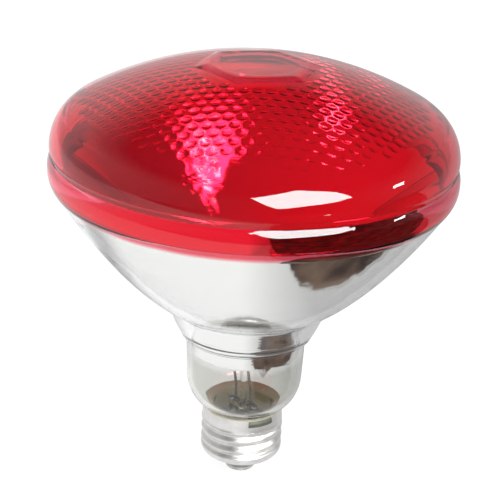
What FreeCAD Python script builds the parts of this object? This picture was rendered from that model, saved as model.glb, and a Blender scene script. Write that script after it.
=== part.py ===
"""Infrared heat lamp: pressed glass lens and necked reflector, wire mount inside, Edison screw cap below.

Millimetres. +Z runs up the lamp's axis to the lens, and the origin is the middle of the centre
contact's flat tip. Each piece is one solid in its own file under parts/.
"""

import FreeCAD, Part
import math
import os

from FreeCAD import Vector

# Lens. The seam is the plane where it is fused to the reflector, in the hollow under its side.
dome_radius = 111.0
lens_side_radius = 60.6
shoulder_radius = 13.5
lens_wall = 3.0
rim_height = 2.2
rim_hollow = 0.15
seam_groove = 0.6

# Six-sided boss on the middle of the lens, and the shallow ring cut into its flat top
boss_radius = 16.7
boss_draft = 1.45
boss_height = 0.7
boss_root = 1.6
boss_turn = 12.1
boss_ring_radius = 11.8
boss_ring_width = 0.6
boss_ring_depth = 0.15

# Reflector bowl: its mirrored inside is a parabola, and the filament sits at the focus
mirror_focus = 17.7
bowl_wall = 2.6
bowl_side_step = 0.6
bowl_side_height = 4.65
flange_height = 3.65
rim_rise = 7.37
bowl_curve_points = 9

# Stepped ring under the bowl, then the neck, which curves in to a tube inside the cap
neck_top_radius = 18.8
neck_taper = 0.55
neck_height = 14.1
neck_curve = 13.0
neck_fillet = 1.5
neck_wall = 1.6
ring_step = 2.1
ring_flare = 3.8
ring_height = 9.2
ring_drop = 1.0
ring_swell = 0.35
ring_corner = 0.8
bowl_foot_step = 0.2
tube_foot_rise = 1.58

# Screw cap of rolled sheet: a plain band, a right-hand thread and a turned-in lip
cap_wall = 0.3
crest_radius = 13.05
thread_depth = 1.05
thread_pitch = 3.629
thread_foot_z = 8.9
thread_length = 10.3
thread_start = 1.3
thread_fade_top = 2.7
thread_fade_foot = 1.6
thread_rows_per_turn = 12
band_inset = 0.25
band_height = 4.2
band_step = 0.6
rim_gap = 0.5
lip_curve = 2.6
lip_angle = 70.0
cap_columns = 36
sheet_gap = 0.03

# Black glass in the cap's foot, the contact plate in its middle and the solder that closes it
glass_skirt_angle = 25.0
glass_skirt = 1.0
glass_hole_radius = 1.7
contact_radius = 4.75
contact_thickness = 1.2
contact_edge = 0.5
eyelet_wall = 0.35
eyelet_length = 3.4
solder_depth = 1.0

# Cement between neck tube and cap, and the solder that joins the side lead to the band
cement_thickness = 0.8
cement_depth = 9.1
cement_bead = 0.35
side_solder_angle = -62.0
side_solder_spread = 36.0
side_solder_height = 2.2
side_solder_swell = 0.45

# Stem: a flared glass tube, pressed flat round the lead-in wires. The mount is turned in the neck.
mount_turn = -45.0
flare_wall = 1.1
flare_rim = 1.9
stem_radius = 5.0
stem_rise = 5.6
press_half_width = 6.4
press_half_thickness = 1.9
press_blend = 3.2
press_height = 4.0
exhaust_radius = 2.0
exhaust_wall = 0.6
exhaust_foot_z = 6.6
exhaust_seat = 1.0
blow_hole_radius = 0.8

# Lead-in wires, in three lengths welded end to end
lead_spacing = 6.8
seal_wire_radius = 0.3
outer_wire_radius = 0.35
inner_wire_radius = 0.45
seal_cover = 1.2
wire_bend = 1.5
side_wire_gap = 0.1
wire_floor_gap = 1.0

# Glass rod and button that carry the filament's support wires
rod_radius = 1.2
rod_seat = 1.5
button_radius = 2.0
button_below_focus = 9.0
support_radius = 0.3
support_count = 3
support_reach = 1.0

# Filament: a coil bent into an open ring, modelled as the tube that its turns fill
coil_radius = 0.9
filament_ring_radius = 7.5
filament_gap_angle = 90.0

UP = Vector(0, 0, 1)

# Cap, from its lip up to its rim
thread_root = crest_radius - thread_depth
band_radius = crest_radius - band_inset
band_foot_z = thread_foot_z + thread_length
cap_rim_z = band_foot_z + band_height
cement_foot_z = cap_rim_z - cement_depth

# Neck and ring, which stand on the cap's rim
tube_radius = thread_root - cap_wall - cement_thickness
neck_foot_radius = neck_top_radius - neck_taper
neck_centre_r = neck_foot_radius - neck_curve
neck_foot_z = cap_rim_z + rim_gap + math.sqrt(neck_curve**2 - (band_radius - neck_centre_r) ** 2)
fillet_centre_r = tube_radius + neck_fillet
fillet_drop = math.sqrt((neck_curve + neck_fillet) ** 2 - (fillet_centre_r - neck_centre_r) ** 2)
fillet_start = math.atan2(fillet_drop, fillet_centre_r - neck_centre_r)
fillet_z = neck_foot_z - fillet_drop
tube_foot_z = thread_foot_z + tube_foot_rise
ring_foot_radius = neck_top_radius + ring_step
ring_top_radius = ring_foot_radius + ring_flare
ring_foot_z = neck_foot_z + neck_height + 2 * ring_corner
ring_top_z = ring_foot_z + ring_height

# Mirror's parabola, which starts at the ring, and the seam above its wide end
bowl_foot_radius = ring_top_radius - bowl_foot_step
bowl_foot_slope = bowl_foot_radius / (2 * mirror_focus)
bowl_foot_rise = bowl_foot_radius**2 / (4 * mirror_focus) - bowl_wall / math.hypot(1, bowl_foot_slope)
mirror_vertex_z = ring_top_z + ring_drop - bowl_foot_rise
focus_z = mirror_vertex_z + mirror_focus
rim_bore = lens_side_radius - lens_wall
seam_z = mirror_vertex_z + rim_bore**2 / (4 * mirror_focus) + rim_rise
seam_radius = lens_side_radius - seam_groove
bowl_side_radius = lens_side_radius + bowl_side_step

# Dome and shoulder of the lens, which stand on its hollow rim
shoulder_r = lens_side_radius - shoulder_radius
shoulder_z = seam_z + rim_height
dome_centre_z = shoulder_z - math.sqrt((dome_radius - shoulder_radius) ** 2 - shoulder_r**2)
shoulder_join = math.atan2(shoulder_r, shoulder_z - dome_centre_z)

# Stem and leads, from the tube's foot
flare_bend = tube_radius - stem_radius - flare_rim
flare_foot_z = tube_foot_z - flare_wall
stem_neck_z = tube_foot_z + stem_rise
press_foot_z = stem_neck_z + press_blend
press_top_z = press_foot_z + press_height
seal_top_z = press_top_z - seal_cover
weld_z = stem_neck_z
exhaust_top_z = stem_neck_z + exhaust_seat + flare_wall
half_spacing = lead_spacing / 2
side_wire_r = tube_radius + side_wire_gap + outer_wire_radius
side_wire_z = cap_rim_z - band_height / 3


def at(radius, height):
    """A point of a profile: distance from the axis, and height."""
    return Vector(radius, 0, height)


def line(start, end):
    return Part.makeLine(start, end)


def arc(start, middle, end):
    return Part.Arc(start, middle, end).toShape()


def polyline(points):
    return [line(start, end) for start, end in zip(points, points[1:])]


def revolved(edges):
    """The solid that a closed profile sweeps round the axis."""
    face = Part.Face(Part.Wire(Part.__sortEdges__(edges)))
    return face.revolve(Vector(), UP, 360)


def column(radius, foot_z, top_z, centre=(0, 0)):
    return Part.makeCylinder(radius, top_z - foot_z, Vector(centre[0], centre[1], foot_z))


def turned(shape, degrees):
    copy = shape.copy()
    copy.rotate(Vector(), UP, degrees)
    return copy


def rounded_path(corners, bend):
    """Straight runs joined by tangent arcs of one bend radius."""
    edges = []
    start = corners[0]
    for before, corner, after in zip(corners, corners[1:], corners[2:]):
        back = (before - corner).normalize()
        ahead = (after - corner).normalize()
        half = back.getAngle(ahead) / 2
        reach = bend / math.tan(half)
        middle = corner + (back + ahead).normalize() * (bend / math.sin(half) - bend)
        edges.append(line(start, corner + back * reach))
        edges.append(arc(corner + back * reach, middle, corner + ahead * reach))
        start = corner + ahead * reach
    edges.append(line(start, corners[-1]))
    return Part.Wire(edges)


def swept_round(path, radius):
    """A round wire along a smooth path."""
    start = path.Vertexes[0].Point
    ahead = path.Edges[0].tangentAt(path.Edges[0].FirstParameter)
    section = Part.Wire(Part.makeCircle(radius, start, ahead))
    return path.makePipeShell([section], True, False)


def dome_curve(inset):
    """The lens's outline from the middle of the dome to its side, moved inwards by inset."""
    ball = dome_radius - inset
    corner = shoulder_radius - inset
    past = (shoulder_join + math.pi / 2) / 2

    def on_dome(angle):
        return at(ball * math.sin(angle), dome_centre_z + ball * math.cos(angle))

    def on_shoulder(angle):
        return at(shoulder_r + corner * math.sin(angle), shoulder_z + corner * math.cos(angle))

    join = on_dome(shoulder_join)
    side = on_shoulder(math.pi / 2)
    edges = [arc(on_dome(0), on_dome(shoulder_join / 2), join), arc(join, on_shoulder(past), side)]
    return edges, on_dome(0), side


def front_lens():
    """Domed lens with a shallow hollow above its fused edge and a low six-sided boss in the middle."""
    outside, apex, side = dome_curve(0)
    inside, hollow_apex, hollow_side = dome_curve(lens_wall)
    foot = at(seam_radius, seam_z)
    hollow = arc(side, (side + foot) * 0.5 - Vector(rim_hollow, 0, 0), foot)
    inside_foot = at(rim_bore, seam_z)
    rim = [hollow, line(foot, inside_foot), line(inside_foot, hollow_side)]
    lens = revolved(outside + rim + inside + [line(hollow_apex, apex)])

    corner_z = dome_centre_z + math.sqrt(dome_radius**2 - boss_radius**2)
    boss_top = corner_z + boss_height
    depth = boss_height + boss_root
    foot_radius = boss_radius + boss_draft * depth / boss_height
    sides = [six_sides(foot_radius, boss_top - depth), six_sides(boss_radius, boss_top)]
    boss = Part.makeLoft(sides, True, True)
    above = column(boss_radius, boss_top, boss_top + boss_radius)
    ring_outer = boss_ring_radius + boss_ring_width / 2
    ring_inner = boss_ring_radius - boss_ring_width / 2
    ring_foot = boss_top - boss_ring_depth
    ring = column(ring_outer, ring_foot, boss_top + 1).cut(column(ring_inner, ring_foot, boss_top + 1))
    return lens.cut(above).fuse(boss).removeSplitter().cut(ring)


def six_sides(radius, height):
    angles = [math.radians(boss_turn + 60 * step) for step in range(7)]
    return Part.makePolygon([Vector(radius * math.cos(a), radius * math.sin(a), height) for a in angles])


def bowl_point(mirror_r, depth):
    """A point of the mirror's parabola, moved out of the glass's inside by depth."""
    rise = mirror_r**2 / (4 * mirror_focus)
    slope = mirror_r / (2 * mirror_focus)
    length = math.hypot(1, slope)
    return at(mirror_r + depth * slope / length, mirror_vertex_z + rise - depth / length)


def bowl_curve(low, high, depth):
    steps = [low + (high - low) * i / (bowl_curve_points - 1) for i in range(bowl_curve_points)]
    curve = Part.BSplineCurve()
    curve.interpolate([bowl_point(step, depth) for step in steps])
    return curve.toShape(), bowl_point(low, depth), bowl_point(high, depth)


def neck_curves(inset, top):
    """The neck's outline from top down to the tube's foot, moved inwards by inset."""
    curve = neck_curve - inset
    fillet = neck_fillet + inset

    def on_curve(angle):
        return at(neck_centre_r + curve * math.cos(angle), neck_foot_z - curve * math.sin(angle))

    def on_fillet(angle):
        return at(fillet_centre_r - fillet * math.cos(angle), fillet_z + fillet * math.sin(angle))

    join = on_curve(fillet_start)
    foot = at(tube_radius - inset, tube_foot_z)
    return [
        line(top, on_curve(0)),
        arc(on_curve(0), on_curve(fillet_start / 2), join),
        arc(join, on_fillet(fillet_start / 2), on_fillet(0)),
        line(on_fillet(0), foot),
    ], foot


def side_arc(side, end):
    """An arc that leaves the bowl's upright side at one point and bends in to another."""
    inwards = side.x - end.x
    rise = end.z - side.z
    turn_radius = (inwards**2 + rise**2) / (2 * inwards)
    half_angle = math.asin(rise / turn_radius) / 2
    back = turn_radius * (1 - math.cos(half_angle))
    return arc(side, side + Vector(-back, 0, turn_radius * math.sin(half_angle)), end)


def bowl_outside():
    """The reflector's outer form as a filled solid, from the seam down to the tube's foot."""
    seam = at(seam_radius, seam_z)
    side_top = at(bowl_side_radius, seam_z - flange_height)
    side_foot = at(bowl_side_radius, seam_z - bowl_side_height)
    high = rim_bore - seam_groove
    curve, foot, shoulder = bowl_curve(bowl_foot_radius, high, bowl_wall)

    ring_top = at(ring_top_radius, ring_top_z)
    ring_foot = at(ring_foot_radius, ring_foot_z)
    ring_middle = (ring_top + ring_foot) * 0.5 + Vector(ring_swell, 0, 0)
    groove = at(ring_top_radius + 0.2 * ring_drop, foot.z - 0.2 * ring_drop)
    under_z = ring_foot_z - ring_corner
    corner_in = at(ring_foot_radius - ring_corner, under_z)
    bend = ring_corner * math.sqrt(0.5)
    corner_middle = at(ring_foot_radius - ring_corner + bend, ring_foot_z - bend)
    step_in = at(neck_top_radius + ring_corner, under_z)
    neck_top = at(neck_top_radius, under_z - ring_corner)
    step_middle = at(neck_top_radius + ring_corner - bend, under_z - ring_corner + bend)
    neck, tube_foot = neck_curves(0, neck_top)
    edges = [
        line(at(0, seam_z), seam),
        side_arc(side_top, seam),
        line(side_top, side_foot),
        side_arc(side_foot, shoulder),
        curve,
        arc(foot, groove, ring_top),
        arc(ring_top, ring_middle, ring_foot),
        arc(ring_foot, corner_middle, corner_in),
        line(corner_in, step_in),
        arc(step_in, step_middle, neck_top),
    ]
    edges += neck
    edges += polyline([tube_foot, at(0, tube_foot_z), at(0, seam_z)])
    return revolved(edges)


def bowl_hollow():
    """The space inside the reflector: mirror, ring, neck and tube."""
    mirror_foot = ring_top_radius - ring_drop - bowl_wall
    curve, foot, shoulder = bowl_curve(mirror_foot, rim_bore, 0)
    neck_top = at(neck_top_radius - neck_wall, ring_foot_z)
    neck, tube_foot = neck_curves(neck_wall, neck_top)
    edges = polyline([at(0, seam_z), at(rim_bore, seam_z), shoulder])
    edges += [curve, line(foot, neck_top)] + neck
    edges += polyline([tube_foot, at(0, tube_foot_z), at(0, seam_z)])
    return revolved(edges)


def reflector_bowl():
    return bowl_outside().cut(bowl_hollow())


def flare_profile(wall):
    """The trumpet curve of the flare, from its rim up to the plain tube, moved inwards by wall."""
    centre_r = stem_radius + flare_bend
    centre_z = tube_foot_z + flare_bend
    bend = flare_bend + wall
    turn = bend * math.sqrt(0.5)
    low = at(centre_r, centre_z - bend)
    high = at(centre_r - bend, centre_z)
    curve = arc(low, at(centre_r - turn, centre_z - turn), high)
    return [curve, line(high, at(high.x, stem_neck_z))], low, at(high.x, stem_neck_z)


def flare_stem():
    """Flared tube and flat press, with a blow hole up through the press and out at its side."""
    trumpet, low, high = flare_profile(0)
    rim = at(tube_radius, flare_foot_z)
    edges = polyline([at(0, flare_foot_z), rim, at(tube_radius, tube_foot_z), low]) + trumpet
    tube = revolved(edges + polyline([high, at(0, stem_neck_z), at(0, flare_foot_z)]))
    trumpet, low, high = flare_profile(flare_wall)
    edges = polyline([at(0, flare_foot_z), low]) + trumpet
    hollow = revolved(edges + polyline([high, at(0, stem_neck_z + flare_wall), at(0, flare_foot_z)]))

    round_end = Part.Wire(Part.Circle(at(0, stem_neck_z), UP, stem_radius).toShape())
    flat_end = Part.Wire(Part.Ellipse(at(0, press_foot_z), press_half_width, press_half_thickness).toShape())
    blend = Part.makeLoft([round_end, flat_end], True)
    press = Part.Face(flat_end).extrude(Vector(0, 0, press_height))
    stem = tube.fuse([blend, press]).removeSplitter().cut(hollow)
    channel = column(blow_hole_radius, stem_neck_z, press_foot_z + blow_hole_radius)
    side_hole = Part.makeCylinder(blow_hole_radius, stem_radius, at(0, press_foot_z), Vector(0, 1, 0))
    return stem.cut(channel.fuse(side_hole)).cut(column(exhaust_radius, flare_foot_z, exhaust_top_z))


def exhaust_tube():
    """Tube that the air was drawn out through, melted shut at its lower end."""
    tip_z = exhaust_foot_z + exhaust_radius
    bore = exhaust_radius - exhaust_wall
    outer = column(exhaust_radius, tip_z, exhaust_top_z).fuse(Part.makeSphere(exhaust_radius, at(0, tip_z)))
    inner = column(bore, tip_z, exhaust_top_z).fuse(Part.makeSphere(bore, at(0, tip_z)))
    return outer.removeSplitter().cut(inner)


def seal_wire(side):
    return column(seal_wire_radius, weld_z, seal_top_z, (side * half_spacing, 0))


def filament_end(side):
    """Middle of the filament's end on one side, and the way the coil runs into it."""
    angle = math.radians(-90 + side * filament_gap_angle / 2)
    point = Vector(filament_ring_radius * math.cos(angle), filament_ring_radius * math.sin(angle), focus_z)
    ahead = Vector(-math.sin(angle), math.cos(angle), 0) * side
    return point, ahead


def inner_lead(side):
    """Stiff wire from the press up to the filament's end."""
    end, ahead = filament_end(side)
    below = end - ahead * (2 * wire_bend)
    foot = Vector(side * half_spacing, 0, seal_top_z)
    knee = Vector(side * half_spacing, 0, press_top_z + 4 * wire_bend)
    elbow = Vector(below.x, below.y, focus_z - 6 * wire_bend)
    return swept_round(rounded_path([foot, knee, elbow, below, end], wire_bend), inner_wire_radius)


def outer_lead_centre():
    """Wire from the press down to the solder in the centre contact."""
    x = -half_spacing
    low_z = exhaust_foot_z + exhaust_radius
    corners = [Vector(x, 0, weld_z), Vector(x, 0, low_z), at(0, exhaust_foot_z - 2 * wire_bend), at(0, solder_depth)]
    return swept_round(rounded_path(corners, wire_bend), outer_wire_radius)


def outer_lead_side():
    """Wire from the press, out under the flare, up beside the tube and out through the band."""
    low_z = flare_foot_z - wire_floor_gap
    corners = [
        at(half_spacing, weld_z),
        at(half_spacing, low_z),
        at(side_wire_r, low_z),
        at(side_wire_r, side_wire_z),
        at(band_radius + side_solder_swell / 2, side_wire_z),
    ]
    return swept_round(rounded_path(corners, wire_bend / 2), outer_wire_radius)


def arbor_rod():
    """Glass rod on the press, melted into a button at the top."""
    button_z = focus_z - button_below_focus
    rod = column(rod_radius, press_top_z - rod_seat, button_z)
    return rod.fuse(Part.makeSphere(button_radius, at(0, button_z))).removeSplitter()


def support_wire(angle):
    """Wire from the button to a hook round the coil."""
    button_z = focus_z - button_below_focus
    hook = coil_radius + support_radius
    reach = filament_ring_radius - hook
    corners = [at(support_reach, button_z), at(reach, button_z), at(reach, focus_z)]
    stem = swept_round(rounded_path(corners, wire_bend), support_radius)
    loop = Part.makeTorus(hook, support_radius, at(filament_ring_radius, focus_z), Vector(0, 1, 0), -180, 180, 360)
    return turned(stem.fuse(loop).removeSplitter(), angle)


def support_angle(index):
    """The hooks share the filament's ring evenly, with the gap between its ends in front."""
    share = (360 - filament_gap_angle) / (support_count + 1)
    return -90 + filament_gap_angle / 2 + share * (index + 1)


def filament():
    start = math.radians(-90 + filament_gap_angle / 2)
    end = start + math.radians(360 - filament_gap_angle)

    def on_ring(angle):
        return Vector(filament_ring_radius * math.cos(angle), filament_ring_radius * math.sin(angle), focus_z)

    path = Part.Wire(arc(on_ring(start), on_ring((start + end) / 2), on_ring(end)))
    return swept_round(path, coil_radius)


def smooth(share):
    """Eases from 0 to 1 as share does."""
    share = min(max(share, 0.0), 1.0)
    return share * share * (3 - 2 * share)


def lip_point(angle, inset):
    """A point of the turned-in lip: 0 degrees where it leaves the thread, moved inwards by inset."""
    curve = lip_curve - inset
    turn = math.radians(angle)
    return at(crest_radius - lip_curve + curve * math.cos(turn), thread_foot_z - curve * math.sin(turn))


def cap_rows(inset):
    """The cap's outline from rim to lip: radius, height, and how deep the thread is rolled there."""
    rows = []
    row_height = thread_pitch / thread_rows_per_turn
    count = round(band_height / row_height)
    for step in range(count):
        rows.append((band_radius - inset, cap_rim_z - band_height * step / count, 0.0))
    height = band_foot_z - thread_foot_z
    count = round(height / row_height)
    for step in range(count):
        z = band_foot_z - height * step / count
        radius = band_radius + (crest_radius - band_radius) * smooth((band_foot_z - z) / band_step)
        depth = smooth((band_foot_z - z) / thread_fade_top) * smooth((z - thread_foot_z) / thread_fade_foot)
        rows.append((radius - inset, z, depth * thread_depth))
    count = round(lip_curve * math.radians(lip_angle) / row_height)
    for step in range(count + 1):
        point = lip_point(lip_angle * step / count, inset)
        rows.append((point.x, point.z, 0.0))
    return rows


def rolled_point(radius, z, depth, angle):
    """A point of the right-hand thread. Its lowest groove crosses the lamp's front."""
    turns = (z - thread_foot_z - thread_start) / thread_pitch - (angle + math.pi / 2) / (2 * math.pi)
    rolled = radius - depth * (1 + math.cos(2 * math.pi * turns)) / 2
    return Vector(rolled * math.cos(angle), rolled * math.sin(angle), z)


def cap_skin(inset):
    """The rolled sheet's outside, or its inside one wall in, as one smooth closed face."""
    angles = [2 * math.pi * column_no / cap_columns for column_no in range(cap_columns)] + [0.0]
    rows = cap_rows(inset)
    skin = Part.BSplineSurface()
    skin.interpolate([[rolled_point(*row, angle) for row in rows] for angle in angles])
    return skin


def cap_shell(side_wire):
    """Thin threaded shell: the same rolled form outside and inside, one wall apart."""
    outer = cap_skin(0)
    inner = cap_skin(cap_wall)
    faces = [outer.toShape(), inner.toShape()]
    for end in (2, 3):
        edges = [skin.vIso(skin.bounds()[end]).toShape() for skin in (outer, inner)]
        faces.append(Part.makeRuledSurface(*edges))
    shell = Part.Shell(faces)
    shell.sewShape()
    solid = Part.Solid(shell)
    if solid.Volume < 0:
        solid.reverse()
    return solid.cut(side_wire)


def cap_insulator():
    """Black glass cone that fills the cap's foot round the contact and grips the turned-in lip."""
    outer_foot = lip_point(lip_angle, 0)
    foot = lip_point(lip_angle, cap_wall + sheet_gap)
    middle = lip_point((lip_angle + glass_skirt_angle) / 2, cap_wall + sheet_gap)
    top = lip_point(glass_skirt_angle, cap_wall + sheet_gap)
    throat_z = contact_thickness + eyelet_length
    edges = polyline([
        at(glass_hole_radius, throat_z),
        at(glass_hole_radius, contact_thickness),
        at(contact_radius, contact_thickness),
        at(foot.x, outer_foot.z),
        foot,
    ])
    edges.append(arc(foot, middle, top))
    edges += polyline([top, at(top.x - glass_skirt, top.z), at(glass_hole_radius, throat_z)])
    return revolved(edges)


def centre_contact():
    """Contact plate with an eyelet that grips the black glass."""
    bore = glass_hole_radius - eyelet_wall
    rim = contact_radius
    edge_middle = contact_edge * (1 - math.sqrt(0.5))
    edges = polyline([at(bore, 0), at(rim - contact_edge, 0)])
    edges.append(arc(at(rim - contact_edge, 0), at(rim - edge_middle, edge_middle), at(rim, contact_edge)))
    edges += polyline([
        at(rim, contact_edge),
        at(rim, contact_thickness),
        at(glass_hole_radius, contact_thickness),
        at(glass_hole_radius, contact_thickness + eyelet_length),
        at(bore, contact_thickness + eyelet_length),
        at(bore, 0),
    ])
    return revolved(edges)


def centre_solder(wire):
    """Solder that fills the eyelet's mouth round the lead, ground flat with the contact."""
    top = solder_depth + outer_wire_radius
    return column(glass_hole_radius - eyelet_wall, 0, top).cut(wire)


def basing_cement(glass, wire):
    """Heatproof cement between the neck tube and the cap, with a bead squeezed out at the rim."""
    inner = tube_radius - neck_wall
    low = thread_root - cap_wall - sheet_gap
    high = band_radius - cap_wall - sheet_gap
    corners = [
        at(inner, cement_foot_z),
        at(low, cement_foot_z),
        at(low, band_foot_z),
        at(high, band_foot_z),
        at(high, cap_rim_z),
        at(band_radius, cap_rim_z),
        at(band_radius + cement_bead / 2, cap_rim_z + cement_bead),
        at(band_radius - cement_bead, neck_foot_z),
        at(inner, neck_foot_z),
        at(inner, cement_foot_z),
    ]
    return revolved(polyline(corners)).cut(glass).cut(wire)


def side_solder(cement, wire):
    """Smear of solder on the band, where the side lead comes out. It laps the cement's bead."""
    half = side_solder_height / 2
    inner = band_radius + sheet_gap
    outer = band_radius + side_solder_swell
    corners = [
        at(inner, side_wire_z - half),
        at(outer, side_wire_z - half / 2),
        at(outer, side_wire_z + half / 4),
        at(inner, side_wire_z + half),
        at(inner, side_wire_z - half),
    ]
    face = Part.Face(Part.makePolygon(corners))
    smear = face.revolve(Vector(), UP, side_solder_spread)
    return turned(smear, side_solder_angle - side_solder_spread / 2).cut(cement).cut(wire)


def export(name, shape):
    solids = shape.Solids
    whole = solids[0] if len(solids) == 1 else shape
    print(f"{name}: {len(solids)} solid, {len(shape.Faces)} faces, {shape.Volume:.1f} mm3, valid {shape.isValid()}")
    whole.exportStep(f"parts/{name}.step")


def main():
    os.makedirs("parts", exist_ok=True)
    seal_wires = [seal_wire(side) for side in (-1, 1)]
    inner_leads = [inner_lead(side) for side in (-1, 1)]
    centre_lead = outer_lead_centre()
    side_lead = outer_lead_side()
    rod = arbor_rod()
    stem = flare_stem().cut(Part.makeCompound(seal_wires + inner_leads + [rod]))
    outside = bowl_outside()
    side_wire = turned(side_lead, mount_turn)
    centre_wire = turned(centre_lead, mount_turn)
    cement = basing_cement(outside, side_wire)

    export("front_lens", front_lens())
    export("reflector_bowl", reflector_bowl())
    export("flare_stem", turned(stem, mount_turn))
    export("exhaust_tube", turned(exhaust_tube(), mount_turn))
    export("arbor_rod", turned(rod, mount_turn))
    for name, seal, inner in zip(("left", "right"), seal_wires, inner_leads):
        export(f"seal_wire_{name}", turned(seal, mount_turn))
        export(f"inner_lead_{name}", turned(inner, mount_turn))
    export("outer_lead_centre", centre_wire)
    export("outer_lead_side", side_wire)
    for index in range(support_count):
        hook = support_wire(support_angle(index)).cut(rod)
        export(f"support_wire_{index + 1}", turned(hook, mount_turn))
    export("filament", turned(filament(), mount_turn))
    export("cap_shell", cap_shell(side_wire))
    export("cap_insulator", cap_insulator())
    export("centre_contact", centre_contact())
    export("centre_solder", centre_solder(centre_wire))
    export("basing_cement", cement)
    export("side_solder", side_solder(cement, side_wire))


main()
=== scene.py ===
import math

import bmesh
import bpy
from mathutils import Matrix, Vector
from mathutils.kdtree import KDTree


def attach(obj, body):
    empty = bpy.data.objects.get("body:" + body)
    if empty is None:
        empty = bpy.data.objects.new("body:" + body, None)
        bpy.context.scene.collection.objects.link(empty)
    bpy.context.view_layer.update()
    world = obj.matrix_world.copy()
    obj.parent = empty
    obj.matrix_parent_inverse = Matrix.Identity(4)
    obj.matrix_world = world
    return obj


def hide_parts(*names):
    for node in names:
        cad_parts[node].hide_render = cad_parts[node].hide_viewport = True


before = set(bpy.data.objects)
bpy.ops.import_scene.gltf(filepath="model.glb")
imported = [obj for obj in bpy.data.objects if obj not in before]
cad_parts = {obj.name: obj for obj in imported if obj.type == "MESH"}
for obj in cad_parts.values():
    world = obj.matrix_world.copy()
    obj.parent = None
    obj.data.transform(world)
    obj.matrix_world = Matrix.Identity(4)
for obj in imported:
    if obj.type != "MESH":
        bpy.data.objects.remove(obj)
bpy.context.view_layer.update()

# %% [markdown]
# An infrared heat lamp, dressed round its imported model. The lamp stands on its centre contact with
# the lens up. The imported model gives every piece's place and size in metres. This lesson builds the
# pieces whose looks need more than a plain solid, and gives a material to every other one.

MM = 0.001

# %% [markdown]
# The camera comes first. The photograph looks down at the lamp from the front, a little under half
# a metre away. Its place was worked out from the round edges of the lens, the ring and the cap,
# which show as ellipses. The lamp leans in the picture, so the camera is rolled by the same amount.

# %% Camera
CAMERA_PLACE = Vector((0.0, -384.6, 244.4)) * MM
CAMERA_TARGET = Vector((0.0, 0.0, 75.5)) * MM
CAMERA_ROLL = math.radians(2.73)
SENSOR_WIDTH = 36.0
FOCAL_LENGTH = 98.6
LENS_SHIFT = (0.0004, 0.006)
CLIP_RANGE = (0.01, 20.0)


def placed(name, data):
    """Puts the data of a camera, a lamp or a mesh into the scene as an object."""
    made = bpy.data.objects.new(name, data)
    bpy.context.scene.collection.objects.link(made)
    return made


camera_data = bpy.data.cameras.new("photo_camera")
camera_data.sensor_width = SENSOR_WIDTH
camera_data.lens = FOCAL_LENGTH
camera_data.shift_x, camera_data.shift_y = LENS_SHIFT
camera_data.clip_start, camera_data.clip_end = CLIP_RANGE
camera = placed("photo_camera", camera_data)
facing = (CAMERA_TARGET - CAMERA_PLACE).to_track_quat("-Z", "Y").to_matrix().to_4x4()
camera.matrix_world = Matrix.Translation(CAMERA_PLACE) @ facing @ Matrix.Rotation(CAMERA_ROLL, 4, "Z")
bpy.context.scene.camera = camera
bpy.context.scene.view_settings.view_transform = "Standard"
print("camera at", tuple(round(v, 3) for v in CAMERA_PLACE))

# %% [markdown]
# Every piece is made in a bmesh in millimetres, like a drawing, and is turned into an object in
# metres at the end. The faces are smooth, apart from edges that turn by more than a given angle.
# The lens and the mirror are turned shapes. A spin would do for a plain profile, but some rings here
# are six-sided or ragged. So a shape grows ring by ring: a closed loop of edges is extruded once,
# and each new point is moved to the radius and height that the next ring has at its angle.

# %% From a bmesh to a piece


def mesh_from(bm, name):
    """Turns a finished bmesh into a mesh."""
    mesh = bpy.data.meshes.new(name)
    bm.to_mesh(mesh)
    bm.free()
    return mesh


def piece_from(bm, name, sharp_degrees):
    """Scales the bmesh to metres, smooths it between sharp edges and returns its object."""
    bmesh.ops.scale(bm, vec=(MM, MM, MM), verts=bm.verts)
    for face in bm.faces:
        face.smooth = True
    limit = math.radians(sharp_degrees)
    for edge in bm.edges:
        edge.smooth = len(edge.link_faces) == 2 and edge.calc_face_angle(0.0) < limit
    made = placed(name, mesh_from(bm, name))
    print(name, len(made.data.polygons), "faces")
    return made


# %% From one ring to the next
RING_POINTS = 192


def next_ring(bm, edges, place):
    """Extrudes a closed edge loop once. Each new point goes to the radius and height of place(angle)."""
    grown = bmesh.ops.extrude_edge_only(bm, edges=edges)["geom"]
    for vert in (item for item in grown if isinstance(item, bmesh.types.BMVert)):
        angle = math.atan2(vert.co.y, vert.co.x)
        radius, height = place(angle)
        vert.co = (radius * math.cos(angle), radius * math.sin(angle), height)
    return [item for item in grown if isinstance(item, bmesh.types.BMEdge)]


def round_ring(radius, height):
    """A ring with the same radius and height all the way round."""
    return lambda angle: (radius, height)


def waves(angle, parts):
    """Adds up waves round a circle. Each part gives a height, a count and a phase."""
    return sum(height * math.sin(count * angle + phase) for height, count, phase in parts)


print("rings have", RING_POINTS, "points")

# %% [markdown]
# The lens is pressed glass, about 3 mm thick. Outside it is smooth: a shallow dome, a tighter
# shoulder, a shallow groove and a swelling at the seam. Inside it is covered with small round
# pebbles that spread the heat. On the middle of the dome stands a low six-sided boss.
# It could be a dome with a bump texture, but light bends through real pebbles in a way that a bump
# can't show. So the inside is a true honeycomb: one small circle of six sides per pebble, welded
# together, subdivided and inset. It is bent to the inner dome at the end.

# %% Sizes of the lens
DOME_RADIUS = 111.0
DOME_CENTRE_Z = 25.105
SHOULDER_R = 47.1
SHOULDER_Z = 110.474
SHOULDER_RADIUS = 13.5
LENS_WALL = 3.0
SEAM_Z = 108.274
RIM_BORE = 57.6
BOSS_TURN = math.radians(12.1)
shoulder_join = math.atan2(SHOULDER_R, SHOULDER_Z - DOME_CENTRE_Z)


def dome_height(radius, inset=0.0):
    """Height of the dome's outside at a radius, or of a smaller dome inside it."""
    return DOME_CENTRE_Z + math.sqrt((DOME_RADIUS - inset) ** 2 - radius**2)


print("apex of the dome at", round(dome_height(0), 2), "mm")

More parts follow.
